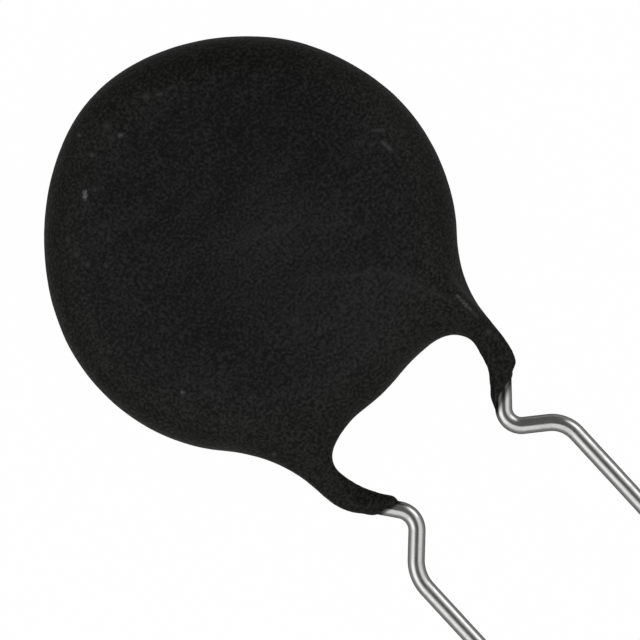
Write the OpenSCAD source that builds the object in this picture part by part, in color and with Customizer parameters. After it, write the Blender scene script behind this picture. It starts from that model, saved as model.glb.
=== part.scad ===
// Inrush current limiter: a ceramic disc between two silver electrodes, with a kinked
// tinned lead soldered to each face, all dipped in a dark coating.
// Millimetres. The origin is midway between the leads on the seating plane, where the
// kinks end. The disc lies flat in the XY plane, towards +Y, and the leads run to -Y.

/* [Ceramic disc] */
// Diameter of the ceramic disc
disc_d = 17.4; // [14:0.1:22]
// Thickness of the ceramic disc
disc_t = 2.8; // [1.6:0.1:4.5]
// Rounding of the disc's edges
disc_edge_r = 0.3; // [0.1:0.05:0.6]
// Bare ceramic left round each electrode
electrode_margin = 0.5; // [0.3:0.1:1.5]
// Thickness of a fired silver electrode
electrode_t = 0.04; // [0.02:0.01:0.1]

/* [Leads] */
// Diameter of the lead wire
lead_d = 0.8; // [0.6:0.05:1]
// Distance between the two leads
lead_pitch = 10; // [7.5:0.1:12]
// Length of a lead below the seating plane
lead_length = 25; // [5:0.5:35]
// How far the kink brings a lead inwards
kink_depth = 1.8; // [1.4:0.05:2.2]
// Angle by which a lead turns into the kink
kink_turn = 46; // [40:1:55]
// Bend radius at both ends of the kink
kink_outer_r = 2; // [1.2:0.05:2.2]
// Bend radius at the bottom of the kink
kink_inner_r = 0.9; // [0.7:0.05:1.1]
// Straight length of lead between the kink and its rise to the disc's face
neck_length = 0.3; // [0.2:0.05:3]
// Angle at which a lead rises to the disc's face
rise_turn = 36; // [28:1:45]
// Bend radius at both ends of the rise
rise_r = 1; // [0.7:0.05:1.2]
// How far outside the ceramic's rim the drop from the face begins
rim_clear = 0.95; // [0.7:0.05:2]
// Straight length of lead between its rise and its turn on the face
face_step = 0.1; // [0.05:0.05:0.5]
// Angle by which a lead turns on the face, towards the disc's centre
run_turn = 33; // [24:1:40]
// Bend radius of that turn
run_r = 2; // [1:0.1:3]
// Straight length of lead from that turn to its end
run_length = 6.6; // [5:0.1:7.5]

/* [Solder] */
// Solder between an electrode and the lead on it
solder_film = 0.05; // [0.03:0.01:0.15]
// Solder over the top of a lead
solder_over = 0.1; // [0.05:0.01:0.3]
// Width of a solder mound
solder_w = 3; // [2:0.1:4]
// Length of a solder mound along its lead, without its round ends
solder_l = 3.6; // [2:0.1:4.5]

/* [Coating] */
// Coating over the leads at the middle of the disc
coat_over = 0.5; // [0.35:0.05:1]
// Radius of the flat middle of each coated face
coat_flat = 4; // [2:0.1:6]
// Fall of each coated face from its flat middle to the rim
coat_crown = 0.45; // [0.1:0.05:0.6]
// Coating outside the ceramic's rim
coat_rim = 0.96; // [0.8:0.02:1.5]
// Rounding of the coated rim
coat_rim_r = 2; // [1.5:0.05:2.1]
// Extra coating at the far end of the disc, where the last drop set
coat_drip = 0.3; // [0:0.02:0.6]
// Coating drawn off the rim between the leads
coat_drawn = 0.28; // [0:0.02:0.4]
// Coating on a lead where it leaves the disc
coat_neck = 0.27; // [0.15:0.01:0.45]
// Coating on a lead at its lower edge
coat_foot_t = 0.08; // [0.06:0.01:0.15]
// Height of the coating's lower edge above the seating plane
coat_foot = 3.95; // [3.4:0.05:5]
// Fillet of coating between a neck and the disc, on the outer side
web_outer = 2; // [1.2:0.1:2.6]
// Fillet of coating between a neck and the disc, on the inner side
web_inner = 2.2; // [1.2:0.1:2.6]
// Fillet of coating beside a lead on the disc's face, at the ceramic's rim
web_face = 0.5; // [0.2:0.05:0.8]

/* [Hidden] */
$fn = 64;

disc_r = disc_d / 2;
lead_r = lead_d / 2;
lead_x = lead_pitch / 2;
electrode_z = disc_t / 2 + electrode_t;
lead_z = electrode_z + solder_film + lead_r;

// The kink: a bend in, a slope, the inner bend, the slope back and a bend to straight again
kink_slope = (kink_depth - (kink_outer_r + kink_inner_r) * (1 - cos(kink_turn))) / sin(kink_turn);
kink_height = 2 * ((kink_outer_r + kink_inner_r) * sin(kink_turn) + kink_slope * cos(kink_turn));

// The rise: where its two corners are, and the disc's centre above them
rise_trim = rise_r * tan(rise_turn / 2);
rise_y = kink_height + neck_length + rise_trim;
face_y = rise_y + lead_z / tan(rise_turn);
rise_length = lead_z / sin(rise_turn) - 2 * rise_trim;
disc_y = face_y + rim_clear + sqrt(pow(disc_r, 2) - pow(lead_x, 2));

// The turn on the face, and the lead's end
run_trim = run_r * tan(run_turn / 2);
run_y = face_y + rise_trim + face_step + run_trim;
end_x = lead_x - (run_trim + run_length) * sin(run_turn);
end_y = run_y + (run_trim + run_length) * cos(run_turn);

// The corners of the front lead's centre line, from its end on the disc down to its tip
lead_corners = [
    [end_x, end_y, lead_z],
    [lead_x, run_y, lead_z],
    [lead_x, face_y, lead_z],
    [lead_x, rise_y, 0],
    [lead_x, kink_height - kink_outer_r * tan(kink_turn / 2), 0],
    [lead_x - (kink_height / 2 - kink_outer_r * tan(kink_turn / 2)) * tan(kink_turn), kink_height / 2, 0],
    [lead_x, kink_outer_r * tan(kink_turn / 2), 0],
    [lead_x, -lead_length, 0],
];
corner_radii = [0, run_r, rise_r, rise_r, kink_outer_r, kink_inner_r, kink_outer_r, 0];

// The coated disc, without the leads: half its height, its radius, and the radius of its
// core, round which the rim is rounded
face_height = lead_z + lead_r + coat_over;
coat_r = disc_r + coat_rim;
core_r = coat_r - coat_rim_r;

// How closely the drip keeps to the far end of the disc
drip_power = 4;

// The edge of the coating between the leads, and the height where a neck's level slices begin
edge_y = disc_y - coat_r + coat_drawn;
neck_top = disc_y - sqrt(pow(coat_r, 2) - pow(lead_x, 2)) - web_inner;

// What the last sections before a neck are aimed at, from the disc's centre: on the rim
// outside the neck, and on the edge between the leads. Then the corner inside the neck.
past_side = 30;
outer_aim = [coat_r * cos(past_side), disc_y - coat_r * sin(past_side)];
inner_aim = [lead_x / 3, edge_y];
corner_aim = [lead_x - lead_r - web_inner / 2, edge_y];

// Straight pieces that stand for one bend in the leads' centre line
bend_steps = 5;

// The coating's surface: its points from the top of a section to the rim, and its sections
// round the far side, along the lead on the disc, past the rim, down the neck and between
// the leads. Then how much closer together the sections along the lead lie at the rim, and
// the steps in which a point is found.
quarter_steps = 9;
far_steps = 24;
run_steps = 6;
shoulder_steps = 10;
neck_steps = 11;
near_steps = 3;
run_closing = 1.5;
march_steps = 14;

// The unit vector along v
function unit(v) = v / norm(v);

// A value that goes smoothly from 0 to 1 as x goes from a to b
function ease(a, b, x) = let (t = min(1, max(0, (x - a) / (b - a)))) t * t * (3 - 2 * t);

// The half turn about Y that carries the front lead's side to the rear lead's
function turned(p) = [-p.x, p.y, -p.z];

// The corner b between a and c, rounded to a radius
function rounded(a, b, c, radius) =
    let (
        to_a = unit(a - b),
        to_c = unit(c - b),
        turn = 180 - acos(to_a * to_c),
        inwards = unit(to_a + to_c),
        onwards = unit(to_c - to_a),
        centre = b + inwards * radius / cos(turn / 2)
    )
    [for (i = [0:bend_steps])
        let (at = turn * (i / bend_steps - 0.5))
        centre - radius * cos(at) * inwards + radius * sin(at) * onwards];

// The front lead's centre line, with its bends as short straight pieces
function lead_line() = [
    lead_corners[0],
    for (i = [1:len(lead_corners) - 2])
        each rounded(lead_corners[i - 1], lead_corners[i], lead_corners[i + 1], corner_radii[i]),
    lead_corners[len(lead_corners) - 1],
];

// The part of a line that the coating reaches
function coated(line) = [for (i = [0:len(line) - 2]) if (line[i].y > coat_foot - kink_outer_r) line[i]];

// The point of a line at the height y, on the stretch that comes down from the disc
function line_at(line, y) =
    let (i = max([for (k = [0:len(line) - 2]) if (line[k].y >= y) k]), a = line[i], b = line[i + 1])
    a + (b - a) * (a.y - y) / (a.y - b.y);

// The distance from p to the straight piece from a to b
function piece_distance(p, a, b) =
    let (along = b - a, t = min(1, max(0, (p - a) * along / (along * along))))
    norm(p - a - t * along);

function line_distance(line, p) = min([for (i = [0:len(line) - 2]) piece_distance(p, line[i], line[i + 1])]);

// The distance from two bodies that are joined by a round fillet, from the distance to each
function filleted(a, b, radius) =
    max(radius, min(a, b)) - norm([max(0, radius - a), max(0, radius - b)]);

// How far p lies outside the coated disc
function off_disc(p) =
    let (
        r = norm([p.x, p.y - disc_y]),
        towards = r == 0 ? 0 : (p.y - disc_y) / r,
        level = towards < 0 ? (coat_r - coat_drawn) / -towards : coat_r,
        rim = core_r + coat_drip * pow(max(0, towards), drip_power) - coat_r + min(coat_r, level),
        across = r - rim,
        fall = coat_crown * pow(max(0, r - coat_flat) / (disc_r - coat_flat), 2),
        over = abs(p.z) - (face_height - fall - coat_rim_r)
    )
    norm([max(0, across), max(0, over)]) + min(0, max(across, over)) - coat_rim_r;

// How far p lies outside the skin on the front lead, which also fills the space from the
// rising lead to the middle plane
function off_lead(line, p) =
    let (
        lead_at = min(lead_z, max(0, (p.y - rise_y) * tan(rise_turn))),
        z = p.z > lead_at ? p.z : lead_at + min(0, p.z),
        skin = coat_foot_t + (coat_neck - coat_foot_t) * ease(coat_foot, face_y, p.y)
    )
    line_distance(line, [p.x, p.y, z]) - lead_r - skin;

// How far p lies outside the whole coating, on the front lead's side
function off_coating(line, p) =
    let (
        r = norm([p.x, p.y - disc_y]),
        web = web_inner + (web_outer - web_inner) * ease(lead_x - lead_d, lead_x + lead_d, p.x),
        on_face = web_face * ease(0, disc_r, r),
        at_rim = ease(core_r - lead_d, core_r + coat_rim_r / 2, r) * (1 - ease(0, face_height, abs(p.z))),
        fillet = on_face + (web - on_face) * at_rim
    )
    filleted(off_disc(p), off_lead(line, p), fillet);

// The coating's surface as seen from p in a direction
function surface_from(line, p, direction, steps) =
    steps == 0 ? p : surface_from(line, p - off_coating(line, p) * direction, direction, steps - 1);

// How far the coated disc's core reaches from p in a direction
function core_reach(p, side) =
    let (from = p - [0, disc_y, p.z], outwards = from * side)
    norm(from) < core_r ? sqrt(pow(outwards, 2) - from * from + pow(core_r, 2)) - outwards : 0;

// The point at t along the straight line from a to b
function between(a, b, t) = a + (b - a) * t;

// One section of the surface, from its top to its bottom, seen from an origin
// towards an aim in the XY plane. It starts out over the core and goes round the core's edge.
function section(line, origin, aim) =
    let (
        side = unit([aim.x - origin.x, aim.y - origin.y, 0]),
        core = core_reach(origin, side),
        level_from = 90 / (1 + core / core_r)
    )
    [for (i = [0:2 * quarter_steps])
        let (
            turn = 90 * (1 - i / quarter_steps),
            reach = core * (abs(turn) <= level_from ? 1 : (90 - abs(turn)) / (90 - level_from)),
            lift = sign(turn) * min(90, abs(turn) * 90 / level_from)
        )
        surface_from(line, origin + reach * side, cos(lift) * side + [0, 0, sin(lift)], march_steps)];

module ceramic_disc() {
    color("DimGray")
    translate([0, disc_y, 0])
    disc_body();
}

// The disc about its own centre
module disc_body() {
    flat_r = disc_r - disc_edge_r;
    flat_z = disc_t / 2 - disc_edge_r;
    rotate_extrude() {
        translate([0, -disc_t / 2]) square([flat_r, disc_t]);
        translate([0, -flat_z]) square([disc_r, 2 * flat_z]);
        for (side = [-1, 1]) translate([flat_r, side * flat_z]) circle(r = disc_edge_r);
    }
}

module electrode() {
    translate([0, disc_y, disc_t / 2])
    cylinder(r = disc_r - electrode_margin, h = electrode_t);
}

module front_electrode() {
    color("Silver") electrode();
}

module rear_electrode() {
    color("Silver") rotate([0, 180, 0]) electrode();
}

// Carries what follows to the front lead's end on the disc, with +Y along the lead, outwards
module along_run() {
    translate([end_x, end_y, 0])
    rotate([0, 0, 180 + run_turn])
    children();
}

// The solder over the end of the front lead: a low mound with round ends
module solder_mound() {
    height = solder_film + lead_d + solder_over;
    mound_r = (pow(solder_w / 2, 2) + pow(height, 2)) / (2 * height);
    translate([0, 0, electrode_z])
    intersection() {
        translate([0, 0, height - mound_r]) {
            rotate([-90, 0, 0]) cylinder(r = mound_r, h = solder_l);
            for (end = [0, solder_l]) translate([0, end, 0]) sphere(r = mound_r);
        }
        translate([-solder_w, -solder_w, 0]) cube([2 * solder_w, solder_l + 2 * solder_w, 2 * height]);
    }
}

module solder() {
    difference() {
        along_run() solder_mound();
        lead();
    }
}

module front_solder() {
    color("Gainsboro") solder();
}

module rear_solder() {
    color("Gainsboro") rotate([0, 180, 0]) solder();
}

// A straight length of wire along +Z, with what follows it at its end
module straight(length) {
    cylinder(d = lead_d, h = length);
    translate([0, 0, length]) children();
}

// Carries what follows round a bend towards +X
module round_bend(turn, radius) {
    translate([radius, 0, 0]) rotate([0, turn, 0]) translate([-radius, 0, 0]) children();
}

// The space on one side of a cut across the wire, as far as a ring of wire reaches
module cut_side(radius, side) {
    translate([-lead_d, -lead_d, side < 0 ? -radius - lead_d : 0])
    cube([2 * radius + 2 * lead_d, 2 * lead_d, radius + lead_d]);
}

// A bend of the wire, rolled about the wire first, with what follows it at its end. It is
// the part of a ring of wire between a cut at its start and a cut at its end.
module bend(turn, radius, roll = 0) {
    rotate([0, 0, roll]) {
        intersection() {
            translate([radius, 0, 0]) rotate([90, 0, 0])
            rotate_extrude() translate([radius, 0]) circle(d = lead_d);
            cut_side(radius, 1);
            round_bend(turn, radius) cut_side(radius, -1);
        }
        round_bend(turn, radius) children();
    }
}

// The front lead as it is bent from straight wire, from its tip to its end on the disc
module lead() {
    translate([lead_x, -lead_length, 0])
    rotate([-90, 0, 0]) rotate([0, 0, 180])
    straight(lead_length)
    bend(kink_turn, kink_outer_r)
    straight(kink_slope)
    bend(2 * kink_turn, kink_inner_r, 180)
    straight(kink_slope)
    bend(kink_turn, kink_outer_r, 180)
    straight(neck_length)
    bend(rise_turn, rise_r, 90)
    straight(rise_length)
    bend(rise_turn, rise_r, 180)
    straight(face_step)
    bend(run_turn, run_r, 90)
    straight(run_length);
}

module front_lead() {
    color("LightGray") lead();
}

module rear_lead() {
    color("LightGray") rotate([0, 180, 0]) lead();
}

// The outside of the coating. Its sections go from the far end of the disc down the front
// lead's outer side, back up its inner side, and on to the middle between the leads. The
// half turn about Y gives the other half.
module coating_skin() {
    line = coated(lead_line());
    centre = [0, disc_y, 0];
    rim = [lead_x, run_y, 0];

    // The places along the front lead that the sections are seen from, on the disc, past its
    // rim and down the neck, and what they are aimed at on both sides of the lead
    run = [for (i = [1:run_steps]) 1 - pow(1 - i / run_steps, run_closing)];
    shoulder = [for (i = [1:shoulder_steps]) i / shoulder_steps];
    neck = [for (i = [1:neck_steps]) i / neck_steps];
    heights = concat([for (t = shoulder) run_y + (neck_top - run_y) * t],
                     [for (t = neck) neck_top + (coat_foot - neck_top) * t]);
    places = concat(
        [for (t = run) between(centre, rim, t)],
        [for (y = heights) let (at = line_at(line, y)) [at.x, at.y, at.z * ease(run_y, neck_top, y)]]
    );
    outer_end = [lead_x + lead_d, neck_top];
    spokes = run_steps + shoulder_steps;
    outer_aims = concat(
        [for (i = [1:spokes]) between(outer_aim, outer_end, i / spokes)],
        [for (i = [spokes:len(places) - 1]) [2 * lead_x, places[i].y]]
    );
    inner_aims = concat(
        [for (t = run) between(inner_aim, corner_aim, t)],
        [for (t = shoulder) between(corner_aim, [lead_x - lead_d, neck_top], t)],
        [for (i = [spokes:len(places) - 1]) [-lead_x, places[i].y]]
    );

    far_half = [for (i = [0:far_steps])
        let (azimuth = 90 - (90 + past_side) * i / far_steps)
        section(line, centre, centre + [cos(azimuth), sin(azimuth), 0])];
    outer_side = [for (i = [0:len(places) - 1]) section(line, places[i], outer_aims[i])];
    inner_side = [for (i = [len(places) - 1:-1:0]) section(line, places[i], inner_aims[i])];
    near_half = [for (i = [0:near_steps])
        section(line, centre, between(inner_aim, [0, edge_y], i / near_steps))];

    half = concat(far_half, outer_side, inner_side, near_half);
    other = [for (i = [len(half) - 2:-1:1])
        [for (k = [2 * quarter_steps:-1:0]) turned(half[i][k])]];
    sections = concat(half, other);
    rows = 2 * quarter_steps + 1;
    count = len(sections);
    front_foot = len(far_half) + len(places) - 1;
    rear_foot = count - front_foot - 1;

    polyhedron(
        points = [for (s = sections) each s],
        faces = concat(
            [for (i = [0:count - 1])
                let (next = (i + 1) % count)
                if (i != front_foot && i != rear_foot)
                for (k = [0:rows - 2])
                    each patch(sections, i, next, k, rows)],
            [for (i = [front_foot, rear_foot]) foot_face(i, i + 1, rows)]
        )
    );
}

// The faces between two sections in one row, without those that have no area
function patch(sections, i, next, k, rows) =
    let (
        a = i * rows + k,
        b = next * rows + k,
        same_upper = sections[i][k] == sections[next][k],
        same_lower = sections[i][k + 1] == sections[next][k + 1]
    )
    same_upper ? [[a, a + 1, b + 1]]
    : same_lower ? [[a, a + 1, b]]
    : [[a, b + 1, b], [a, a + 1, b + 1]];

// The flat face across a neck's lower end
function foot_face(i, next, rows) =
    concat([for (k = [0:rows - 1]) i * rows + k], [for (k = [rows - 2:-1:1]) next * rows + k]);

module coating() {
    color([0.11, 0.11, 0.12])
    difference() {
        coating_skin();
        ceramic_disc();
        for (turn = [0, 180]) rotate([0, turn, 0]) {
            electrode();
            along_run() solder_mound();
            lead();
        }
    }
}

ceramic_disc();
front_electrode();
rear_electrode();
front_solder();
rear_solder();
front_lead();
rear_lead();
coating();
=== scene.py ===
"""Looks for the inrush current limiter: a dark dip-coated disc with two kinked tinned leads.

The script goes through the limiter as it is put together: the ceramic disc, its silver
electrodes, the two leads, their solder and the coating. The floor, the light and the camera
come last. Everything is in metres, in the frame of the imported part.
"""

import math

import bmesh
import bpy
from mathutils import Matrix, Vector, noise


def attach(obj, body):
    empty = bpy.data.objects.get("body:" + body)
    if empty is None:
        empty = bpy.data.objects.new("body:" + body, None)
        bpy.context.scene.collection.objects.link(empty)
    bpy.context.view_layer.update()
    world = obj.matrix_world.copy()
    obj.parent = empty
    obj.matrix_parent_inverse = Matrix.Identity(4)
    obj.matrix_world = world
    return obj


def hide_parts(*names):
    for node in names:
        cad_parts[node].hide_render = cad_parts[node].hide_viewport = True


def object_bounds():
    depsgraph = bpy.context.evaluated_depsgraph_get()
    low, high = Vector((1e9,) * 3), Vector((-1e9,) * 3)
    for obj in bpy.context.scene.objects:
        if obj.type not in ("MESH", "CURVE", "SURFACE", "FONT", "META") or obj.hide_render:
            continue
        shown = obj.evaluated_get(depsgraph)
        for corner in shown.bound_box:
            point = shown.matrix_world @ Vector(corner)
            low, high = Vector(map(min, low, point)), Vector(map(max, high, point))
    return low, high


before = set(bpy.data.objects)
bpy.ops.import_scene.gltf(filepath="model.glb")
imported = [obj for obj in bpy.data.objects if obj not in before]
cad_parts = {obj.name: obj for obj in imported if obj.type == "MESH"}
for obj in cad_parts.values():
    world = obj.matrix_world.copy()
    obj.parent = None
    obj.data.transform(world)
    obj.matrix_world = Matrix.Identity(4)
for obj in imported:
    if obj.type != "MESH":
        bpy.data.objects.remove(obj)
cad_low, cad_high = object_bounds()
MM = 0.001


# Ceramic disc. A pressed and sintered disc of metal oxides, dark grey and dense, with a
# very fine grain. The coating hides it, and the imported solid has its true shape.

CERAMIC_DARK = (0.035, 0.033, 0.031, 1.0)
CERAMIC_LIGHT = (0.055, 0.052, 0.049, 1.0)
CERAMIC_SPREAD = (0.35, 0.7)
CERAMIC_GRAIN, CERAMIC_GRAIN_DEPTH = 0.25 * MM, 0.01 * MM
CERAMIC_ROUGHNESS = 0.75


def new_material(name):
    """A new material, its node tree and its shader."""
    material = bpy.data.materials.new(name)
    material.use_nodes = True
    tree = material.node_tree
    return material, tree, tree.nodes["Principled BSDF"]


def add_node(tree, kind, inputs=None, **settings):
    """A node with its settings, and each named input set to a value or joined to a socket."""
    node = tree.nodes.new(kind)
    for name, value in settings.items():
        setattr(node, name, value)
    for name, value in (inputs or {}).items():
        if isinstance(value, bpy.types.NodeSocket):
            tree.links.new(value, node.inputs[name])
        else:
            node.inputs[name].default_value = value
    return node


def lumps(tree, place, size, detail=2.0, roughness=0.5):
    """Noise at a place, with lumps of about the given size. Its value goes from 0 to 1."""
    inputs = {"Vector": place, "Scale": 1 / size, "Detail": detail, "Roughness": roughness}
    return add_node(tree, "ShaderNodeTexNoise", inputs).outputs["Fac"]


def own_place(tree):
    """The place on the piece, in its own coordinates."""
    return add_node(tree, "ShaderNodeTexCoord").outputs["Object"]


def ramp(tree, value, low, high, start=0.0, end=1.0):
    """A value that goes from start to end as another goes from low to high."""
    inputs = {"Value": value, "From Min": low, "From Max": high, "To Min": start, "To Max": end}
    return add_node(tree, "ShaderNodeMapRange", inputs).outputs["Result"]


def blend(tree, share, first, second):
    """A colour from first to second, by a share from 0 to 1."""
    node = add_node(tree, "ShaderNodeMix", {0: share}, data_type="RGBA")
    for socket, colour in ((node.inputs[6], first), (node.inputs[7], second)):
        if isinstance(colour, bpy.types.NodeSocket):
            tree.links.new(colour, socket)
        else:
            socket.default_value = colour
    return node.outputs[2]


def roughen(tree, shader, height, depth):
    """Raises the surface by a height pattern, to the given depth."""
    bump = add_node(tree, "ShaderNodeBump", {"Height": height, "Distance": depth})
    tree.links.new(bump.outputs["Normal"], shader.inputs["Normal"])


def finish_node(name, material):
    """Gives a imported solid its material."""
    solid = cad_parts[name]
    solid.data.materials.clear()
    solid.data.materials.append(material)


ceramic, tree, shader = new_material("sintered_ceramic")
grain = lumps(tree, own_place(tree), CERAMIC_GRAIN, detail=4.0)
colour = blend(tree, ramp(tree, grain, *CERAMIC_SPREAD), CERAMIC_DARK, CERAMIC_LIGHT)
tree.links.new(colour, shader.inputs["Base Color"])
shader.inputs["Roughness"].default_value = CERAMIC_ROUGHNESS
roughen(tree, shader, grain, CERAMIC_GRAIN_DEPTH)
finish_node("ceramic_disc", ceramic)


# Electrodes. Silver paste, printed on each face of the disc and fired: satin and pale, with
# the faint patches that firing leaves. The coating hides them too.

SILVER_DULL = (0.58, 0.56, 0.52, 1.0)
SILVER_CLEAN = (0.76, 0.74, 0.70, 1.0)
FIRED_PATCH = 1.2 * MM
FIRED_GRAIN, FIRED_GRAIN_DEPTH = 0.08 * MM, 0.004 * MM
SILVER_ROUGHNESS = 0.5

# Nearly all of a noise pattern lies between these two values
MOST_OF_NOISE = (0.3, 0.7)

silver, tree, shader = new_material("fired_silver")
place = own_place(tree)
patches = lumps(tree, place, FIRED_PATCH, detail=5.0, roughness=0.6)
colour = blend(tree, ramp(tree, patches, *MOST_OF_NOISE), SILVER_DULL, SILVER_CLEAN)
tree.links.new(colour, shader.inputs["Base Color"])
shader.inputs["Metallic"].default_value = 1.0
shader.inputs["Roughness"].default_value = SILVER_ROUGHNESS
roughen(tree, shader, lumps(tree, place, FIRED_GRAIN), FIRED_GRAIN_DEPTH)
for name in ("front_electrode", "rear_electrode"):
    finish_node(name, silver)


# Leads. Round tinned copper wire, bent on a forming tool: a kink that stops it in the board,
# a rise to the disc's face, and a turn on the face towards the disc's middle. The two kinks
# came out a little uneven, and both tips are cut square.

WIRE_R = 0.4 * MM
LEAD_X = 5.0 * MM
LEAD_LENGTH = 25.0 * MM
NECK_LENGTH = 0.3 * MM
RISE_TURN = math.radians(36)
RISE_R = 1.0 * MM
LEAD_Z = 1.89 * MM
FACE_STEP = 0.1 * MM
RUN_TURN = math.radians(33)
RUN_R = 2.0 * MM
RUN_LENGTH = 6.6 * MM

# The kinks: how far from the seating plane each starts, then its three bends and two slopes
FRONT_KINK = {
    "start": 0.321 * MM,
    "lower_turn": math.radians(54.0),
    "lower_r": 1.57 * MM,
    "lower_slope": 1.143 * MM,
    "corner_r": 0.83 * MM,
    "upper_slope": 2.108 * MM,
    "upper_turn": math.radians(41.1),
    "upper_r": 1.32 * MM,
}
REAR_KINK = {
    "start": -0.30 * MM,
    "lower_turn": math.radians(44.2),
    "lower_r": 1.975 * MM,
    "lower_slope": 1.30 * MM,
    "corner_r": 0.965 * MM,
    "upper_slope": 1.940 * MM,
    "upper_turn": math.radians(37.0),
    "upper_r": 1.872 * MM,
}

# How finely the wire is drawn, how its tips are rounded, and how its thickness changes
WIRE_SIDES = 64
RING_STEP, BEND_STEP = 0.25 * MM, math.radians(3)
TIP_EDGE, TIP_EDGE_STEPS = 0.03 * MM, 3
UNEVEN_LENGTH, UNEVEN_SHARE = 0.9 * MM, 0.006

TO_MIDDLE, TO_OUTSIDE = Vector((-1, 0, 0)), Vector((1, 0, 0))
UP, DOWN = Vector((0, 0, 1)), Vector((0, 0, -1))


class Wire:
    """A wire that grows in a bmesh, ring by ring, from its tip. Each vertex keeps its place
    on the wire as if the wire were straight, for the patterns that run along it."""

    def __init__(self, size_at):
        self.mesh = bmesh.new()
        self.drawn = self.mesh.verts.layers.float_vector.new("drawn_place")
        self.size_at = size_at
        self.size = 1.0
        self.place = Vector((LEAD_X, -LEAD_LENGTH, 0))
        self.heading = Vector((0, 1, 0))
        self.length = 0.0
        stand = Matrix.Translation(self.place) @ Matrix.Rotation(-math.pi / 2, 4, "X")
        bmesh.ops.create_circle(self.mesh, segments=WIRE_SIDES, radius=WIRE_R, matrix=stand)
        for vert in self.mesh.verts:
            offset = vert.co - self.place
            vert[self.drawn] = (offset.x, offset.z, 0)
        self.ring = self.mesh.edges[:]

    def grown(self, geometry):
        """Takes the newest ring out of what an operator made, and gives it its own size."""
        self.ring = [item for item in geometry if isinstance(item, bmesh.types.BMEdge)]
        verts = [item for item in geometry if isinstance(item, bmesh.types.BMVert)]
        for vert in verts:
            x, z, _ = vert[self.drawn]
            vert[self.drawn] = (x, z, self.length)
        size = self.size_at(self)
        middle = Matrix.Translation(-self.place)
        bmesh.ops.scale(self.mesh, verts=verts, vec=(size / self.size,) * 3, space=middle)
        self.size = size

    def straight(self, length):
        """Grows the wire straight on."""
        steps = math.ceil(length / RING_STEP)
        for _ in range(steps):
            made = bmesh.ops.extrude_edge_only(self.mesh, edges=self.ring)["geom"]
            verts = [item for item in made if isinstance(item, bmesh.types.BMVert)]
            bmesh.ops.translate(self.mesh, verts=verts, vec=self.heading * length / steps)
            self.place = self.place + self.heading * length / steps
            self.length += length / steps
            self.grown(made)

    def bend(self, turn, radius, towards):
        """Grows the wire round a bend, towards a side."""
        side = (towards - self.heading * towards.dot(self.heading)).normalized()
        centre = self.place + side * radius
        axis = self.heading.cross(side)
        steps = math.ceil(turn / BEND_STEP)
        swing = Matrix.Rotation(turn / steps, 4, axis)
        for _ in range(steps):
            made = bmesh.ops.spin(
                self.mesh, geom=self.ring, cent=centre, axis=axis, angle=turn / steps, steps=1
            )["geom_last"]
            self.place = centre + swing @ (self.place - centre)
            self.heading = swing @ self.heading
            self.length += radius * turn / steps
            self.grown(made)


def slightly_uneven(wire):
    """The thickness of the wire's newest ring, as a share of the drawn one."""
    return 1 + UNEVEN_SHARE * noise.noise((0, 0, wire.length / UNEVEN_LENGTH))


def in_order(mesh):
    """Puts the edges and faces of a bmesh in an order that is the same in each run. Extrude
    and spin leave them in a random one, which shows in the last digits of what is cut."""
    mesh.verts.index_update()
    for items in (mesh.edges, mesh.faces):
        ordered = sorted(items, key=lambda item: sorted(vert.index for vert in item.verts))
        for number, item in enumerate(ordered):
            item.index = number
        items.sort()
    data = bpy.data.meshes.new("in_order")
    mesh.to_mesh(data)
    for edge in data.edges:
        edge.vertices = sorted(edge.vertices)
    mesh.clear()
    mesh.from_mesh(data)
    bpy.data.meshes.remove(data)


def draw_lead(kink, turned, size_at):
    """The bmesh of a lead from its tip to its end on the disc. The rear one is turned half
    round the Y axis."""
    wire = Wire(size_at)
    wire.straight(LEAD_LENGTH + kink["start"])
    wire.bend(kink["lower_turn"], kink["lower_r"], TO_MIDDLE)
    wire.straight(kink["lower_slope"])
    wire.bend(kink["lower_turn"] + kink["upper_turn"], kink["corner_r"], TO_OUTSIDE)
    wire.straight(kink["upper_slope"])
    wire.bend(kink["upper_turn"], kink["upper_r"], TO_MIDDLE)
    wire.straight(NECK_LENGTH)
    wire.bend(RISE_TURN, RISE_R, UP)
    wire.straight(LEAD_Z / math.sin(RISE_TURN) - 2 * RISE_R * math.tan(RISE_TURN / 2))
    wire.bend(RISE_TURN, RISE_R, DOWN)
    wire.straight(FACE_STEP)
    wire.bend(RUN_TURN, RUN_R, TO_MIDDLE)
    wire.straight(RUN_LENGTH)
    open_ends = [edge for edge in wire.mesh.edges if edge.is_boundary]
    ends = bmesh.ops.holes_fill(wire.mesh, edges=open_ends, sides=0)["faces"]
    rims = [edge for face in ends for edge in face.edges]
    bmesh.ops.bevel(
        wire.mesh,
        geom=rims,
        offset=TIP_EDGE,
        segments=TIP_EDGE_STEPS,
        affect="EDGES",
        profile=0.5,
        material=-1,
    )
    if turned:
        half_turn = Matrix.Rotation(math.pi, 3, "Y")
        bmesh.ops.rotate(wire.mesh, verts=wire.mesh.verts, cent=(0, 0, 0), matrix=half_turn)
    bmesh.ops.recalc_face_normals(wire.mesh, faces=wire.mesh.faces)
    in_order(wire.mesh)
    return wire.mesh


def new_piece(name, mesh, material, replaced):
    """An object from a finished bmesh, with its material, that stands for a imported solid."""
    data = bpy.data.meshes.new(name)
    mesh.to_mesh(data)
    mesh.free()
    data.shade_smooth()
    data.materials.append(material)
    piece = bpy.data.objects.new(name, data)
    bpy.context.scene.collection.objects.link(piece)
    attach(piece, "root")
    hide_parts(replaced)
    return piece


TIN_DULL = (0.52, 0.52, 0.51, 1.0)
TIN_BRIGHT = (0.65, 0.65, 0.64, 1.0)
TIN_EDGE = (0.25, 0.25, 0.26, 1.0)
TIN_PATCH, TIN_SPREAD = 0.45 * MM, (0.25, 0.5)
TIN_ROUGH, TIN_SMOOTH = 0.26, 0.16
DENT_SIZE, DENT_DEPTH = 0.5 * MM, 0.006 * MM

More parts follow.
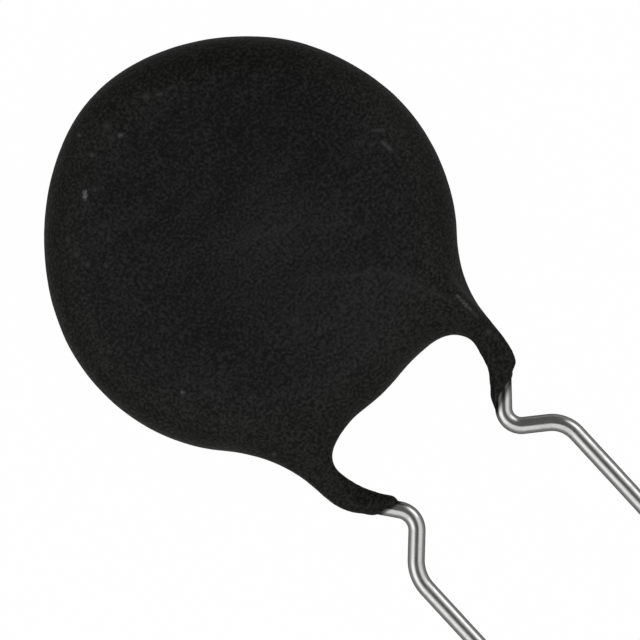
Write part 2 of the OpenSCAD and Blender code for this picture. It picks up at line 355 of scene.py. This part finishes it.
# The fine lines that drawing left along the wire: width, length for a width of one, and depth
LINE_WIDTH, LINE_STRETCH, LINE_DEPTH = 0.05 * MM, 40.0, 0.0008 * MM


def both(tree, first, second, operation="ADD"):
    """Two values put together, added unless another operation is named."""
    values = {0: first, 1: second}
    return add_node(tree, "ShaderNodeMath", values, operation=operation).outputs[0]


tinned, tree, shader = new_material("tinned_copper")
drawn = add_node(tree, "ShaderNodeAttribute", attribute_name="drawn_place").outputs["Vector"]
stretch = {"Vector": drawn, "Scale": (1, 1, 1 / LINE_STRETCH)}
stretched = add_node(tree, "ShaderNodeMapping", stretch).outputs["Vector"]
lines = lumps(tree, stretched, LINE_WIDTH, detail=3.0)
patches = lumps(tree, drawn, TIN_PATCH, detail=4.0, roughness=0.6)
tin_colour = blend(tree, ramp(tree, patches, *TIN_SPREAD), TIN_DULL, TIN_BRIGHT)
tree.links.new(tin_colour, shader.inputs["Base Color"])
roughness = ramp(tree, patches, *MOST_OF_NOISE, TIN_ROUGH, TIN_SMOOTH)
tree.links.new(roughness, shader.inputs["Roughness"])
shader.inputs["Metallic"].default_value = 1.0
shader.inputs["Specular Tint"].default_value = TIN_EDGE
dents = lumps(tree, drawn, DENT_SIZE)
unevenness = both(tree, dents, both(tree, lines, LINE_DEPTH / DENT_DEPTH, "MULTIPLY"))
roughen(tree, shader, unevenness, DENT_DEPTH)

front_wire = draw_lead(FRONT_KINK, False, slightly_uneven)
front_lead = new_piece("front_lead_wire", front_wire, tinned, "front_lead")
rear_wire = draw_lead(REAR_KINK, True, slightly_uneven)
rear_lead = new_piece("rear_lead_wire", rear_wire, tinned, "rear_lead")


# Solder. A low mound over the end of each lead, melted on to the electrode. It set with a
# satin skin and faint ripples.

SOLDER_DULL = (0.52, 0.52, 0.51, 1.0)
SOLDER_BRIGHT = (0.72, 0.72, 0.70, 1.0)
SOLDER_RIPPLE, RIPPLE_DEPTH = 0.6 * MM, 0.02 * MM
SOLDER_ROUGHNESS = 0.38

solder, tree, shader = new_material("set_solder")
ripples = lumps(tree, own_place(tree), SOLDER_RIPPLE, detail=3.0, roughness=0.6)
colour = blend(tree, ramp(tree, ripples, *MOST_OF_NOISE), SOLDER_DULL, SOLDER_BRIGHT)
tree.links.new(colour, shader.inputs["Base Color"])
shader.inputs["Metallic"].default_value = 1.0
shader.inputs["Roughness"].default_value = SOLDER_ROUGHNESS
roughen(tree, shader, ripples, RIPPLE_DEPTH)
for name in ("front_solder", "rear_solder"):
    finish_node(name, solder)


# Coating. The whole disc was dipped in dark resin and hung by its leads until it set. The
# resin is matte and faintly uneven, pulls down both leads to thin slanted ends, and has faint
# flecks of filler. Its rim is darkened with painted shade. The pale specks near its rim are
# partly dust and partly painted highlights, and painted highlights run over the front lead.

# Corners of a imported solid that are nearer than SAME_CORNER are one corner, and triangles that
# turn by less than FACET_TURN are joined in pairs. The lower ends of the imported coating are
# level, at FOOT_Y. They are cut off at a slant, STUB_RISE above where each film ends
SAME_CORNER = 0.0005 * MM
FACET_TURN = math.radians(60)
FOOT_Y, FOOT_FLATNESS = 3.95 * MM, 0.01 * MM
STUB_RISE = 0.15 * MM

# How finely the skin is drawn, and how much it is evened out
SKIN_FINER = 2
VOXEL = 0.12 * MM
SMOOTHING, SMOOTHING_ROUNDS = 0.5, 8

# Where each coated end stops across the wire: its outer and its inner side, how far the line
# between them bows up, and the length over which the resin thins out above it. Then the
# depth of the resin above that, on the wire's outer and on its inner side, and how far the
# tin is stained round the line
FRONT_FOOT = {
    "outer": Vector((4.53, 4.25, 0)) * MM,
    "inner": Vector((2.86, 3.62, 0)) * MM,
    "bow": 0.17 * MM,
    "taper": 0.22 * MM,
    "outer_film": 0.06 * MM,
    "inner_film": 0.20 * MM,
    "stain": 0.32 * MM,
}
REAR_FOOT = {
    "outer": Vector((-4.29, 3.80, 0)) * MM,
    "inner": Vector((-3.21, 3.63, 0)) * MM,
    "bow": 0.0,
    "taper": 0.25 * MM,
    "outer_film": 0.09 * MM,
    "inner_film": 0.19 * MM,
    "stain": 0.20 * MM,
}

# On each wire the resin is a thin film. From EVEN_FROM up to FILM_TOP, inside the neck, it
# comes to the same depth all round. Below its end it goes on, sunk in the wire, which cuts it
# to a thin edge
EVEN_FROM, FILM_TOP = 4.4 * MM, 5.2 * MM
TOP_FILM = 0.05 * MM
BELOW_END, FILM_SUNK = 0.3 * MM, 0.05 * MM
FILM_RING_STEP, FILM_CUTS = 0.15 * MM, 4

# The core of each neck is the same film, a little thicker and ending a little higher. It is
# evened out with the skin, so that the neck runs smoothly into the film
ABOVE_END, CORE_THICKER = 0.14 * MM, 0.015 * MM

# Where the resin set fuller or leaner than drawn, in millimetres: a place, how far round it,
# and the move
SET_OF_RESIN = [
    ((9.6, 16.0), 7.0, (-0.19, -0.15)),
    ((7.6, 23.0), 7.0, (-0.29, -0.07)),
    ((2.6, 26.8), 7.0, (-0.34, -0.12)),
    ((-3.4, 26.4), 7.0, (0.29, 0.08)),
    ((-8.0, 22.5), 7.0, (0.04, 0.04)),
    ((-9.5, 17.0), 7.0, (-0.32, -0.02)),
    ((-8.3, 12.0), 6.0, (-0.17, -0.32)),
    ((7.8, 11.5), 5.0, (-0.02, 0.09)),
    ((6.4, 9.2), 2.4, (-0.14, 0.10)),
    ((3.9, 5.6), 1.5, (-0.44, 0.15)),
    ((3.4, 4.5), 1.2, (-0.12, 0.14)),
    ((5.2, 4.8), 0.9, (0.04, -0.04)),
    ((1.9, 7.6), 1.6, (0.01, 0.12)),
    ((-0.6, 7.6), 1.6, (-0.01, -0.09)),
    ((-3.4, 8.1), 1.5, (0.21, -0.17)),
    ((-4.0, 5.5), 1.4, (0.37, 0.0)),
    ((-4.1, 6.7), 0.9, (0.08, 0.0)),
    ((-5.7, 5.2), 1.6, (-0.05, -0.06)),
    ((-6.1, 7.4), 2.4, (-0.16, -0.05)),
]

# The faint waves and the fine peel of the set resin: size and depth
PEEL = ((1.3 * MM, 0.010 * MM), (0.4 * MM, 0.003 * MM))


def downwards(foot):
    """The direction square to a foot's line, towards the tip of its lead."""
    across = foot["inner"] - foot["outer"]
    down = Vector((across.y, -across.x, 0)).normalized()
    return down if down.y < 0 else -down


def close_ends(mesh):
    """Fills the open ends of a bmesh."""
    open_edges = [edge for edge in mesh.edges if edge.is_boundary]
    bmesh.ops.holes_fill(mesh, edges=open_edges, sides=0)


def merged_copy(name):
    """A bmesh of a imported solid, with its loose triangles joined."""
    mesh = bmesh.new()
    mesh.from_mesh(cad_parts[name].data)
    bmesh.ops.remove_doubles(mesh, verts=mesh.verts, dist=SAME_CORNER)
    return mesh


def outer_skin():
    """A bmesh of the coating's outside, with its two lower ends closed. The outside is all
    that joins the far end without going over a level lower end."""
    mesh = merged_copy("coating")
    at_foot = {
        face
        for face in mesh.faces
        if all(abs(vert.co.y - FOOT_Y) < FOOT_FLATNESS for vert in face.verts)
    }
    start = max(mesh.faces, key=lambda face: face.calc_center_median().y)
    outside, edge_of_search = {start}, [start]
    while edge_of_search:
        face = edge_of_search.pop()
        for edge in face.edges:
            for other in edge.link_faces:
                if other not in outside and other not in at_foot:
                    outside.add(other)
                    edge_of_search.append(other)
    inside = [face for face in mesh.faces if face not in outside]
    bmesh.ops.delete(mesh, geom=inside, context="FACES")
    close_ends(mesh)
    for foot, side in ((FRONT_FOOT, 1), (REAR_FOOT, -1)):
        down = downwards(foot)
        half = [face for face in mesh.faces if face.calc_center_median().x * side > 0]
        half += [edge for edge in mesh.edges if edge.verts[0].co.x * side > 0]
        half += [vert for vert in mesh.verts if vert.co.x * side > 0]
        above = foot["outer"] - down * STUB_RISE
        bmesh.ops.bisect_plane(mesh, geom=half, plane_co=above, plane_no=down, clear_outer=True)
        close_ends(mesh)
    bmesh.ops.join_triangles(
        mesh,
        faces=mesh.faces,
        angle_face_threshold=FACET_TURN,
        angle_shape_threshold=FACET_TURN,
    )
    return mesh


def film(foot, kink, turned, past_end, thicker):
    """A bmesh of the resin on a lead, from inside its neck down past its coated end, and as
    much thicker as is asked."""
    outer, inner = foot["outer"], foot["inner"]
    across, down = inner - outer, downwards(foot)
    slope = kink["upper_turn"]
    inwards = Vector((math.cos(slope) if turned else -math.cos(slope), math.sin(slope), 0))
    mesh = draw_lead(kink, turned, lambda wire: 1.0)
    lower_cut = inner + down * past_end, down
    upper_cut = Vector((0, FILM_TOP, 0)), Vector((0, 1, 0))
    for point, away in (lower_cut, upper_cut):
        everything = [*mesh.verts, *mesh.edges, *mesh.faces]
        bmesh.ops.bisect_plane(
            mesh, geom=everything, plane_co=point, plane_no=away, clear_outer=True
        )
    along = [edge for edge in mesh.edges if edge.calc_length() > FILM_RING_STEP]
    bmesh.ops.subdivide_edges(mesh, edges=along, cuts=FILM_CUTS, use_grid_fill=True)
    mesh.normal_update()
    for vert in mesh.verts:
        # The line of the end bows up in its middle, and the resin thins out just above it
        offset = vert.co - outer
        share = offset.dot(across) / across.length_squared
        bowed = foot["bow"] * 4 * share * (1 - share)
        height = -offset.dot(down) - bowed
        thinned = 1 - (1 - min(1, height / foot["taper"])) ** 2
        # Its depth changes round the wire, and comes to be even towards the top
        inner_share = (1 + vert.normal.dot(inwards)) / 2
        depth = foot["outer_film"] + (foot["inner_film"] - foot["outer_film"]) * inner_share
        depth *= thinned
        near_top = max(0, (vert.co.y - EVEN_FROM) / (FILM_TOP - EVEN_FROM))
        depth += (TOP_FILM - depth) * near_top
        vert.co += vert.normal * max(-FILM_SUNK, depth + thicker)
    close_ends(mesh)
    return mesh


def loose_object(name, mesh):
    """An object from a bmesh, for making another piece."""
    data = bpy.data.meshes.new(name)
    mesh.to_mesh(data)
    mesh.free()
    made = bpy.data.objects.new(name, data)
    bpy.context.scene.collection.objects.link(made)
    return made


def baked(piece):
    """Makes a piece's modifiers part of its mesh."""
    evaluated = piece.evaluated_get(bpy.context.evaluated_depsgraph_get())
    solid = bpy.data.meshes.new_from_object(evaluated)
    piece.modifiers.clear()
    old, piece.data = piece.data, solid
    bpy.data.meshes.remove(old)


def reshape(piece, move):
    """Moves each vertex of a piece by what a rule gives for it."""
    mesh = bmesh.new()
    mesh.from_mesh(piece.data)
    mesh.normal_update()
    moves = [move(vert) for vert in mesh.verts]
    for vert, step in zip(mesh.verts, moves):
        vert.co += step
    mesh.to_mesh(piece.data)
    mesh.free()


def set_of_resin(vert):
    """The move of a point of the skin by the set of the resin."""
    step = Vector((0, 0, 0))
    for (x, y), reach, (dx, dy) in SET_OF_RESIN:
        share = 1 - ((vert.co.x / MM - x) ** 2 + (vert.co.y / MM - y) ** 2) / reach**2
        if share > 0:
            step += Vector((dx, dy, 0)) * MM * share**2
    return step


def peel(vert):
    """The move of a point of the skin by its waves and its peel."""
    return vert.normal * sum(depth * noise.noise(vert.co / size) for size, depth in PEEL)


skin = loose_object("dipped_coating", outer_skin())
finer = skin.modifiers.new("finer", "SUBSURF")
finer.levels = finer.render_levels = SKIN_FINER
baked(skin)
reshape(skin, set_of_resin)

# The skin and the cores of both necks are made one shape
whole = bmesh.new()
whole.from_mesh(skin.data)
for foot, kink, turned in ((FRONT_FOOT, FRONT_KINK, False), (REAR_FOOT, REAR_KINK, True)):
    core = film(foot, kink, turned, -ABOVE_END, CORE_THICKER)
    data = bpy.data.meshes.new("core")
    core.to_mesh(data)
    core.free()
    whole.from_mesh(data)
    bpy.data.meshes.remove(data)
whole.to_mesh(skin.data)
whole.free()

remesh = skin.modifiers.new("remesh", "REMESH")
remesh.mode = "VOXEL"
remesh.voxel_size = VOXEL
even = skin.modifiers.new("even", "SMOOTH")
even.factor = SMOOTHING
even.iterations = SMOOTHING_ROUNDS
baked(skin)
reshape(skin, peel)

# The films on the two leads join it. Then each piece that was dipped cuts out its own room
front_film = loose_object("front_film", film(FRONT_FOOT, FRONT_KINK, False, BELOW_END, 0.0))
rear_film = loose_object("rear_film", film(REAR_FOOT, REAR_KINK, True, BELOW_END, 0.0))
films = [front_film, rear_film]
INSIDE = ("ceramic_disc", "front_electrode", "rear_electrode", "front_solder", "rear_solder")
sealed = [loose_object("cut_" + name, merged_copy(name)) for name in INSIDE]
dipped = [front_lead, rear_lead, *sealed]
for others, operation in ((films, "UNION"), (dipped, "DIFFERENCE")):
    for other in others:
        change = skin.modifiers.new("change", "BOOLEAN")
        change.operation = operation
        change.solver = "MANIFOLD"
        change.object = other
    baked(skin)
for other in films + sealed:
    bpy.data.objects.remove(other)

# The resin's two shades, the painted shade that darkens and warms its rim, and how much paler it
# is towards the leads than in its middle
COAT_DARK = (0.0035, 0.0035, 0.0036, 1.0)
COAT_LIGHT = (0.0243, 0.0246, 0.0252, 1.0)
RIM_PAINTED_SHADE = (0.85, 0.83, 0.70, 1.0)
RIM_FROM, RIM_TO = 7.0 * MM, 8.8 * MM
FAR_FROM_LEADS, NEAR_LEADS, END_SHADE = 25 * MM, 11 * MM, 0.15
BODY_MIDDLE = Vector((-0.2, 17.2, 0)) * MM

# Its clouds, its fine grain, which is stronger at the rim, and the sags across its face. The
# two shades belong to the two values of their sum in SHADES
COAT_CLOUD, CLOUD_SHARE = 3.5 * MM, 0.6
COAT_MOTTLE, MOTTLE_MIDDLE = 0.14 * MM, 0.5
GRAIN, RIM_GRAIN = 3.9, 5.9
SAG_WIDTH, SAG_STRETCH, SAG_SHARE = 0.9 * MM, 5.0, 0.6
SHADES = (0.15, 1.61)

# Its gloss, and the depth of its grain with the share of the sags in it
COAT_ROUGH, COAT_SMOOTH = 0.54, 0.44
COAT_GLOSS = 0.13
SHEEN, SHEEN_ROUGHNESS = 0.05, 0.35
BUMP_DEPTH, SAG_BUMP = 0.05 * MM, 0.5

# Faint flecks of filler, in those cells of a random pattern whose number is high enough
FLECK_COLOUR = (0.035, 0.035, 0.034, 1.0)
FLECK_SPACING, FLECK_R = 0.8 * MM, 0.06 * MM
FLECKS_CHOSEN = (0.72, 0.9)

# The marks that show have ragged edges, and are on the front face alone. They are listed
# below in millimetres, and so are the paler zones
SPECK_AND_HIGHLIGHT_COLOUR = (0.16, 0.165, 0.17, 1.0)
SPECK_RAGGED, SPECK_FADE = 0.07 * MM, 1.4
FRONT_FROM, FRONT_TO = -0.2 * MM, 0.2 * MM

# Painted highlights along the neck and the ridge over the front lead, faint pale streaks on the
# face, and small pale smears: two ends, width, paleness
HIGHLIGHTS_AND_STREAKS = [
    ((5.19, 8.80), (5.25, 7.45), 0.10, 0.16),
    ((5.20, 8.80), (5.24, 7.95), 0.08, 0.30),
    ((5.21, 8.45), (5.23, 8.20), 0.08, 0.30),
    ((3.60, 11.75), (4.70, 9.10), 0.14, 0.045),
    ((0.70, 13.95), (3.60, 11.80), 0.35, 0.024),
    ((-0.27, 17.36), (1.66, 16.37), 0.30, 0.022),
    ((2.45, 15.34), (4.03, 14.83), 0.28, 0.020),
    ((-4.19, 23.98), (-4.40, 23.72), 0.12, 0.70),
    ((1.25, 25.02), (1.45, 24.90), 0.10, 0.20),
    ((1.85, 24.86), (2.10, 24.80), 0.09, 0.13),
    ((7.52, 17.05), (7.86, 16.72), 0.11, 0.15),
    ((7.47, 16.33), (7.50, 15.88), 0.14, 0.24),
    ((-1.73, 20.09), (0.18, 20.11), 0.35, 0.020),
    ((1.32, 18.74), (3.56, 18.57), 0.40, 0.018),
    ((-4.16, 21.70), (-2.87, 21.39), 0.30, 0.020),
]

# Where the whole skin is a little paler, or darker: two ends, reach, paleness
ZONES = [
    ((-0.4, 17.2), (3.4, 15.5), 2.0, 0.22),
    ((-0.8, 12.9), (1.8, 11.0), 3.6, 0.22),
    ((-2.2, 25.2), (0.7, 25.2), 1.5, 0.32),
    ((0.7, 25.2), (3.2, 23.9), 1.4, 0.27),
    ((-3.1, 25.6), (-5.9, 23.1), 1.4, 0.10),
    ((-1.8, 22.2), (-0.9, 20.5), 2.2, -0.10),
    ((7.6, 13.3), (5.7, 11.2), 1.5, -0.18),
    ((-3.9, 14.7), (-1.7, 12.7), 3.0, -0.21),
    ((-3.5, 11.5), (-4.7, 8.8), 2.4, -0.17),
    ((3.1, 20.0), (4.7, 17.6), 2.4, -0.13),
    ((-3.8, 20.0), (-1.6, 17.6), 1.5, 0.12),
    ((-6.9, 18.4), (-5.7, 16.6), 1.8, -0.15),
    ((5.0, 14.1), (5.5, 13.0), 1.5, -0.15),
]

# The pale specks that show, partly dust and partly painted highlights on tiny bumps: place,
# radius, paleness
DUST_AND_HIGHLIGHT_SPECKS = [
    ((-4.32, 23.86), 0.10, 0.60),
    ((-2.62, 26.09), 0.09, 0.40),
    ((-1.39, 25.50), 0.20, 0.14),
    ((-1.23, 24.78), 0.11, 0.45),
    ((-1.63, 24.93), 0.16, 0.12),
    ((-2.80, 25.00), 0.09, 0.24),
    ((-3.79, 23.75), 0.12, 0.14),
    ((0.88, 25.30), 0.17, 0.15),
    ((7.00, 16.61), 0.11, 0.12),
    ((-7.13, 14.08), 0.09, 0.75),
    ((-6.69, 11.82), 0.08, 0.18),
    ((-5.00, 11.80), 0.08, 0.14),
    ((-5.47, 16.02), 0.09, 0.12),
    ((-6.28, 22.89), 0.11, 0.16),
    ((-6.46, 22.11), 0.11, 0.16),
    ((-6.39, 21.41), 0.12, 0.18),
    ((-5.78, 20.79), 0.11, 0.16),
    ((-4.88, 21.61), 0.10, 0.14),
    ((-6.00, 9.13), 0.10, 0.22),
    ((-3.34, 8.19), 0.08, 0.16),
    ((5.17, 6.57), 0.13, 0.20),
    ((5.23, 6.11), 0.12, 0.10),
]


def vectors(tree, operation, inputs, output="Vector"):
    """What an operation makes of its vectors."""
    return add_node(tree, "ShaderNodeVectorMath", inputs, operation=operation).outputs[output]


def on_plan(x, y):
    """A place seen from above, out of its two measures in millimetres."""
    return Vector((x, y, 0)) * MM


def from_above(tree, place):
    """A place without its height."""
    return vectors(tree, "MULTIPLY", {0: place, 1: (1, 1, 0)})


def distance(tree, place, middle):
    """The distance from a place to a point, seen from above."""
    return vectors(tree, "DISTANCE", {0: from_above(tree, place), 1: middle}, "Value")


def distance_to_line(tree, place, start, end):
    """The distance from a place to a short line, seen from above."""
    line = end - start
    offset = vectors(tree, "SUBTRACT", {0: from_above(tree, place), 1: start})
    share = vectors(tree, "DOT_PRODUCT", {0: offset, 1: line / line.length_squared}, "Value")
    foot = vectors(tree, "SCALE", {0: line, "Scale": ramp(tree, share, 0.0, 1.0)})
    return vectors(tree, "DISTANCE", {0: offset, 1: foot}, "Value")


coat, tree, shader = new_material("dipped_resin")
place = own_place(tree)
sides = add_node(tree, "ShaderNodeSeparateXYZ", {0: place}).outputs
at_rim = ramp(tree, distance(tree, place, BODY_MIDDLE), RIM_FROM, RIM_TO)

clouds = both(tree, lumps(tree, place, COAT_CLOUD), CLOUD_SHARE, "MULTIPLY")
mottle = lumps(tree, place, COAT_MOTTLE, detail=1.5)
stretch = {"Vector": place, "Scale": (1 / SAG_STRETCH, 1, 1)}
sags = lumps(tree, add_node(tree, "ShaderNodeMapping", stretch).outputs["Vector"], SAG_WIDTH)
sags = both(tree, sags, SAG_SHARE, "MULTIPLY")
to_leads = ramp(tree, sides["Y"], FAR_FROM_LEADS, NEAR_LEADS, -END_SHADE, END_SHADE)
grain_strength = ramp(tree, at_rim, 0.0, 1.0, GRAIN, RIM_GRAIN)
grain = both(tree, both(tree, mottle, -MOTTLE_MIDDLE), grain_strength, "MULTIPLY")
shade = both(tree, both(tree, clouds, grain), both(tree, sags, to_leads))
for start, end, reach, paleness in ZONES:
    away = distance_to_line(tree, place, on_plan(*start), on_plan(*end))
    shade = both(tree, shade, ramp(tree, away, 0.0, reach * MM, paleness, 0.0))
colour = blend(tree, ramp(tree, shade, *SHADES), COAT_DARK, COAT_LIGHT)
# Painted shade: towards the rim the colour is made darker and warmer
rim_shade = blend(tree, at_rim, (1, 1, 1, 1), RIM_PAINTED_SHADE)
colour = vectors(tree, "MULTIPLY", {0: colour, 1: rim_shade})

cells = add_node(tree, "ShaderNodeTexVoronoi", {"Vector": place, "Scale": 1 / FLECK_SPACING})
fleck = ramp(tree, cells.outputs["Distance"], 0.0, FLECK_R / FLECK_SPACING, 1.0, 0.0)
number = add_node(tree, "ShaderNodeSeparateColor", {0: cells.outputs["Color"]}).outputs[0]
chosen = ramp(tree, number, *FLECKS_CHOSEN)
colour = blend(tree, both(tree, fleck, chosen, "MULTIPLY"), colour, FLECK_COLOUR)

unmarked = colour
ragged = ramp(tree, mottle, *MOST_OF_NOISE, -SPECK_RAGGED, SPECK_RAGGED)
# Pale specks, partly dust and partly painted highlights on tiny bumps of the resin
for middle, radius, paleness in DUST_AND_HIGHLIGHT_SPECKS:
    away = both(tree, distance(tree, place, on_plan(*middle)), ragged)
    share = ramp(tree, away, 0.0, SPECK_FADE * radius * MM, paleness, 0.0)
    colour = blend(tree, share, colour, SPECK_AND_HIGHLIGHT_COLOUR)
# Painted highlights over the front lead, and faint pale streaks and smears on the face
for start, end, width, paleness in HIGHLIGHTS_AND_STREAKS:
    away = both(tree, distance_to_line(tree, place, on_plan(*start), on_plan(*end)), ragged)
    share = ramp(tree, away, 0.0, width * MM, paleness, 0.0)
    colour = blend(tree, share, colour, SPECK_AND_HIGHLIGHT_COLOUR)
on_front = ramp(tree, sides["Z"], FRONT_FROM, FRONT_TO)
colour = blend(tree, on_front, unmarked, colour)
tree.links.new(colour, shader.inputs["Base Color"])
roughness = ramp(tree, mottle, *MOST_OF_NOISE, COAT_ROUGH, COAT_SMOOTH)
tree.links.new(roughness, shader.inputs["Roughness"])
shader.inputs["Specular IOR Level"].default_value = COAT_GLOSS
shader.inputs["Sheen Weight"].default_value = SHEEN
shader.inputs["Sheen Roughness"].default_value = SHEEN_ROUGHNESS
unevenness = both(tree, mottle, both(tree, sags, SAG_BUMP, "MULTIPLY"))
roughen(tree, shader, unevenness, BUMP_DEPTH)

# A little resin has run on past each coated end, and stains the tin. The stain keeps its
# strength over the first part of its reach, and fades over the rest
STAIN_COLOUR = (0.03, 0.03, 0.03, 1.0)
STAIN_STRENGTH, STAIN_FULL = 0.9, 1 / 3

tree = tinned.node_tree
stained = tin_colour
for foot in (FRONT_FOOT, REAR_FOOT):
    raised = downwards(foot) * foot["bow"] / 2
    ends = foot["outer"] - raised, foot["inner"] - raised
    away = distance_to_line(tree, own_place(tree), *ends)
    full = foot["stain"] * STAIN_FULL
    share = ramp(tree, away, full, foot["stain"], STAIN_STRENGTH, 0.0)
    stained = blend(tree, share, stained, STAIN_COLOUR)
tree.links.new(stained, tree.nodes["Principled BSDF"].inputs["Base Color"])

skin.data.materials.clear()
skin.data.materials.append(coat)
skin.data.shade_smooth()
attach(skin, "root")
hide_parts("coating")


# Floor. A sheet of grey card under the limiter. It gives the limiter's sides a grey light and
# keeps its faint shadow, and shows white to the camera.

FLOOR_SIZE = 3.0
FLOOR_GREY = (0.42, 0.42, 0.42, 1.0)
FLOOR_GLOW = 0.99

card, tree, shader = new_material("grey_card")
shader.inputs["Base Color"].default_value = FLOOR_GREY
shader.inputs["Roughness"].default_value = 1.0
shader.inputs["Specular IOR Level"].default_value = 0.0
glow = add_node(tree, "ShaderNodeEmission", {"Color": (1, 1, 1, 1), "Strength": 1.0})
seen = add_node(tree, "ShaderNodeLightPath").outputs["Is Camera Ray"]
share = both(tree, seen, FLOOR_GLOW, "MULTIPLY")
shaders = {0: share, 1: shader.outputs[0], 2: glow.outputs[0]}
mixed = add_node(tree, "ShaderNodeMixShader", shaders)
tree.links.new(mixed.outputs[0], tree.nodes["Material Output"].inputs["Surface"])

sheet = bmesh.new()
bmesh.ops.create_grid(sheet, x_segments=1, y_segments=1, size=FLOOR_SIZE / 2)
bmesh.ops.translate(sheet, verts=sheet.verts, vec=(0, 0, cad_low.z))
floor = loose_object("floor", sheet)
floor.data.materials.append(card)


# Light. A white light tent round the limiter, with a gap that runs from above the limiter to
# the far side, where the camera and its stand are. The gap is the dark line in the wires.

CAMERA_ROLL = math.radians(-42.6)

# The tent's wall is dimmer low down. Each pair says between which two directions a change
# takes place, by how far they point up, aside, or to the top of the picture
TENT_WHITE, TENT_LOW = 0.93, 0.3
TENT_LOW_EDGE = (0.05, 0.45)
GAP_DARK = 0.11
GAP_SIDE = (0.30, 0.53)
GAP_NEAR = (-0.31, -0.21)
LAMP_POWER = 0.10

picture_right = Vector((math.cos(CAMERA_ROLL), math.sin(CAMERA_ROLL), 0))
picture_up = Vector((-math.sin(CAMERA_ROLL), math.cos(CAMERA_ROLL), 0))

world = bpy.data.worlds.new("tent")
bpy.context.scene.world = world
world.use_nodes = True
tree = world.node_tree
direction = add_node(tree, "ShaderNodeTexCoord").outputs["Generated"]


def towards(side):
    """How far the direction points to a side."""
    return vectors(tree, "DOT_PRODUCT", {0: direction, 1: side}, "Value")


def between(share, first, second):
    """A brightness from first to second, by a share from 0 to 1."""
    return add_node(tree, "ShaderNodeMix", {0: share, 2: first, 3: second}).outputs[0]


to_side = {0: towards(picture_right)}
aside = add_node(tree, "ShaderNodeMath", to_side, operation="ABSOLUTE").outputs[0]
across_gap = ramp(tree, aside, *GAP_SIDE, 1.0, 0.0)
along_gap = ramp(tree, towards(picture_up), *GAP_NEAR)
gap = both(tree, across_gap, along_gap, "MULTIPLY")
wall = ramp(tree, towards(UP), *TENT_LOW_EDGE, TENT_LOW, TENT_WHITE)
seen = add_node(tree, "ShaderNodeLightPath").outputs["Is Camera Ray"]
strength = between(seen, between(gap, wall, GAP_DARK), 1.0)
tree.links.new(strength, tree.nodes["Background"].inputs["Strength"])
tree.nodes["Background"].inputs["Color"].default_value = (1, 1, 1, 1)


def softbox(name, place, aim, size, power):
    """A soft lamp that points at a place."""
    lamp = bpy.data.lights.new(name, "AREA")
    lamp.shape = "SQUARE"
    lamp.size = size
    lamp.energy = power
    holder = bpy.data.objects.new(name, lamp)
    holder.location = place
    holder.rotation_euler = (aim - place).to_track_quat("-Z", "Y").to_euler()
    bpy.context.scene.collection.objects.link(holder)


softbox("right_lamp", Vector((0.32, 0.03, 0.14)), BODY_MIDDLE, 0.18, LAMP_POWER)
softbox("left_lamp", Vector((-0.30, 0.10, 0.22)), BODY_MIDDLE, 0.25, LAMP_POWER)


# Camera. It looks straight down from arm's length through a long lens, turned so that the
# leads run down to the right, and their tips are out of the picture.

FIELD = 29.73 * MM
CAMERA_HEIGHT = 0.35
PICTURE_MIDDLE = Vector((-0.22, 12.27, 0)) * MM

lens = bpy.data.cameras.new("camera")
lens.lens = lens.sensor_width * CAMERA_HEIGHT / FIELD
lens.clip_start = 0.01
lens.clip_end = 10.0
camera = bpy.data.objects.new("camera", lens)
camera.location = PICTURE_MIDDLE + Vector((0, 0, CAMERA_HEIGHT))
camera.rotation_euler = (0, 0, CAMERA_ROLL)
bpy.context.scene.collection.objects.link(camera)
bpy.context.scene.camera = camera

bpy.context.scene.view_settings.view_transform = "Standard"
